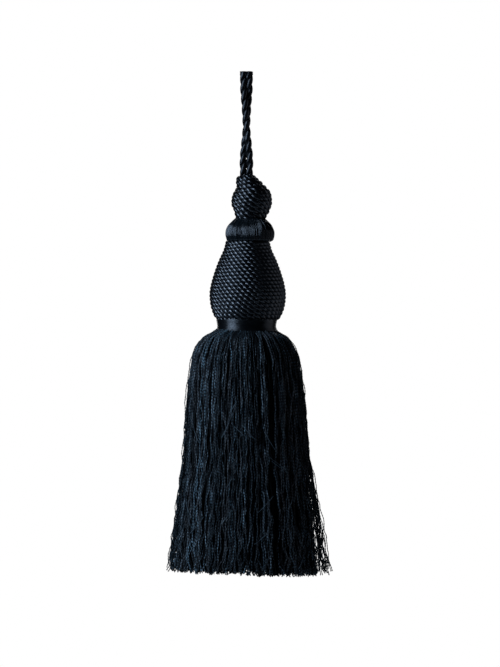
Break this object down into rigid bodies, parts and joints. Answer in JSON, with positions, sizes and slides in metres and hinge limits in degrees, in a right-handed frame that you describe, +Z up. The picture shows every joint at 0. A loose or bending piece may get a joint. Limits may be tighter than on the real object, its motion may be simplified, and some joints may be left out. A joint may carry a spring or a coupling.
{
  "type": "tassel",
  "caption": "Hanging key tassel: doubled twisted cord, wound knob, satin ruff, pear-shaped cord-wound head, neck band and a long skirt of loose crimped threads.",
  "frame": {"origin": "top end of the doubled cord, where the tassel is hung", "axes": "+Z up along the hanging cord, -Y towards the viewer of the front, +X to the viewer's right"},
  "size_m": [0.0609, 0.0609, 0.2023],
  "materials": {
    "hanging_cord": "twisted navy rayon cord, satin",
    "covering_cord": "fine twisted navy rayon cord, satin",
    "satin_floss": "untwisted navy rayon floss, glossy satin",
    "skirt_thread": "crimped navy rayon thread, soft satin"
  },
  "bodies": {
    "root": {"cord_leg_left": "hanging_cord", "cord_leg_right": "hanging_cord", "cord_binding": "hanging_cord", "knob": "covering_cord", "ruff": "satin_floss", "head": "covering_cord", "neck_band": "satin_floss", "skirt": "skirt_thread"}
  },
  "joints": []
}
